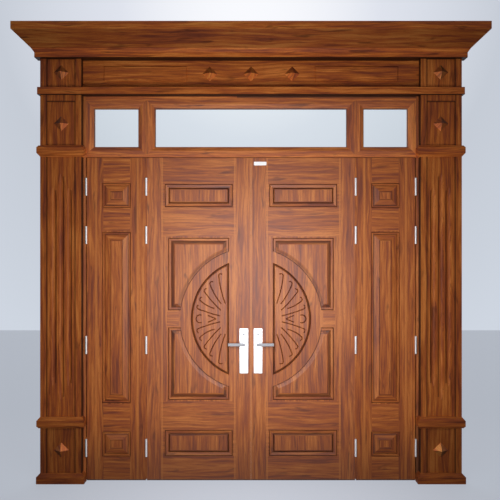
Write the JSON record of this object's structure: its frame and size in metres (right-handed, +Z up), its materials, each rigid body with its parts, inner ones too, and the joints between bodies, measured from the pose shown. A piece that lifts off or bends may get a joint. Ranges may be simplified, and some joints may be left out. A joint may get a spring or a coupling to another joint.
{
  "type": "four-leaf steel door",
  "caption": "Wood-grain steel entrance door with wide middle leaves, narrow side leaves, glazed transom lights, fluted pilasters, frieze and cornice.",
  "frame": {"origin": "on the floor, in the middle of the footprint", "axes": "+X along the wall to the right seen from outside, +Y from outside to inside, +Z up"},
  "size_m": [3.284, 0.337, 3.206],
  "materials": {
    "wood_print": "satin wood-grain print",
    "hinge_steel": "satin",
    "polished_steel": "polished",
    "zinc_steel": "zinc plated",
    "glass": "clear",
    "rubber": "matt"
  },
  "bodies": {
    "surround": {"left_jamb": "wood_print", "right_jamb": "wood_print", "head_jamb": "wood_print", "transom_bar": "wood_print", "mullions": "wood_print", "left_sash": "wood_print", "right_sash": "wood_print", "center_sash": "wood_print", "left_pane": "glass", "right_pane": "glass", "center_pane": "glass", "glazing_beads": "wood_print", "frame_seal": "rubber", "plinths": "wood_print", "pedestals": "wood_print", "pilaster_collars": "wood_print", "left_shaft": "wood_print", "right_shaft": "wood_print", "capitals": "wood_print", "architrave_band": "wood_print", "frieze_blocks": "wood_print", "frieze_board": "wood_print", "pyramid_studs": "wood_print", "cornice": "wood_print", "frame_hinge_wings": "hinge_steel", "outer_hinge_pins": "hinge_steel"},
    "left_side": {"left_side_leaf": "wood_print", "left_side_leaf_outer_wings": "hinge_steel", "left_side_leaf_inner_wings": "hinge_steel", "left_inner_hinge_pins": "hinge_steel", "left_side_leaf_stop": "wood_print"},
    "left_top_flush_bolt": {"left_side_top_bolt": "zinc_steel"},
    "left_bottom_flush_bolt": {"left_side_bottom_bolt": "zinc_steel"},
    "left_main": {"left_main_leaf": "wood_print", "left_main_leaf_wings": "hinge_steel", "left_outer_plate": "polished_steel", "left_inner_plate": "polished_steel", "left_key_cylinder": "polished_steel", "left_gear_case": "zinc_steel", "left_strike_plate": "zinc_steel"},
    "left_handle": {"left_outer_lever": "polished_steel", "left_inner_lever": "polished_steel"},
    "right_side": {"right_side_leaf": "wood_print", "right_side_leaf_outer_wings": "hinge_steel", "right_side_leaf_inner_wings": "hinge_steel", "right_inner_hinge_pins": "hinge_steel", "right_side_leaf_stop": "wood_print"},
    "right_top_flush_bolt": {"right_side_top_bolt": "zinc_steel"},
    "right_bottom_flush_bolt": {"right_side_bottom_bolt": "zinc_steel"},
    "right_main": {"right_main_leaf": "wood_print", "right_main_leaf_wings": "hinge_steel", "right_outer_plate": "polished_steel", "right_inner_plate": "polished_steel", "right_key_cylinder": "polished_steel", "right_lock_case": "zinc_steel"},
    "right_handle": {"right_outer_lever": "polished_steel", "right_inner_lever": "polished_steel"},
    "lock_bolts": {"right_lock_bolts": "zinc_steel"},
    "top_rod": {"left_top_rod": "zinc_steel"},
    "bottom_rod": {"left_bottom_rod": "zinc_steel"}
  },
  "joints": [
    {"name": "left_side_swing", "type": "hinge", "parent": "surround", "child": "left_side", "pos_m": [-1.173, 0.04, 1.154], "axis": [0, 0, -1], "range_deg": [0, 90]},
    {"name": "left_main_swing", "type": "hinge", "parent": "left_side", "child": "left_main", "pos_m": [-0.745, 0.04, 1.154], "axis": [0, 0, -1], "range_deg": [0, 100]},
    {"name": "left_lever_lift", "type": "hinge", "parent": "left_main", "child": "left_handle", "pos_m": [-0.0505, 0.0735, 0.974], "axis": [0, 1, 0], "range_deg": [0, 45], "stiffness_Nm_per_rad": 1.5},
    {"name": "left_top_bolt_slide", "type": "slide", "parent": "left_side", "child": "left_top_flush_bolt", "axis": [0, 0, 1], "range_m": [0, 0.02]},
    {"name": "left_bottom_bolt_slide", "type": "slide", "parent": "left_side", "child": "left_bottom_flush_bolt", "axis": [0, 0, -1], "range_m": [0, 0.02]},
    {"name": "right_side_swing", "type": "hinge", "parent": "surround", "child": "right_side", "pos_m": [1.173, 0.04, 1.154], "axis": [0, 0, 1], "range_deg": [0, 90]},
    {"name": "right_main_swing", "type": "hinge", "parent": "right_side", "child": "right_main", "pos_m": [0.745, 0.04, 1.154], "axis": [0, 0, 1], "range_deg": [0, 100]},
    {"name": "right_lever_lift", "type": "hinge", "parent": "right_main", "child": "right_handle", "pos_m": [0.0505, 0.0735, 0.974], "axis": [0, -1, 0], "range_deg": [0, 45], "stiffness_Nm_per_rad": 1.5},
    {"name": "right_top_bolt_slide", "type": "slide", "parent": "right_side", "child": "right_top_flush_bolt", "axis": [0, 0, 1], "range_m": [0, 0.02]},
    {"name": "right_bottom_bolt_slide", "type": "slide", "parent": "right_side", "child": "right_bottom_flush_bolt", "axis": [0, 0, -1], "range_m": [0, 0.02]},
    {"name": "lock_bolt_throw", "type": "slide", "parent": "right_main", "child": "lock_bolts", "axis": [-1, 0, 0], "range_m": [0, 0.02]},
    {"name": "top_rod_throw", "type": "slide", "parent": "left_main", "child": "top_rod", "axis": [0, 0, 1], "range_m": [0, 0.02]},
    {"name": "bottom_rod_throw", "type": "slide", "parent": "left_main", "child": "bottom_rod", "axis": [0, 0, -1], "range_m": [0, 0.02]}
  ],
  "couplings": [
    {"joint": "lock_bolt_throw", "follows": "right_lever_lift", "m_per_rad": 0.0254},
    {"joint": "top_rod_throw", "follows": "left_lever_lift", "m_per_rad": 0.0254},
    {"joint": "bottom_rod_throw", "follows": "left_lever_lift", "m_per_rad": 0.0254}
  ]
}
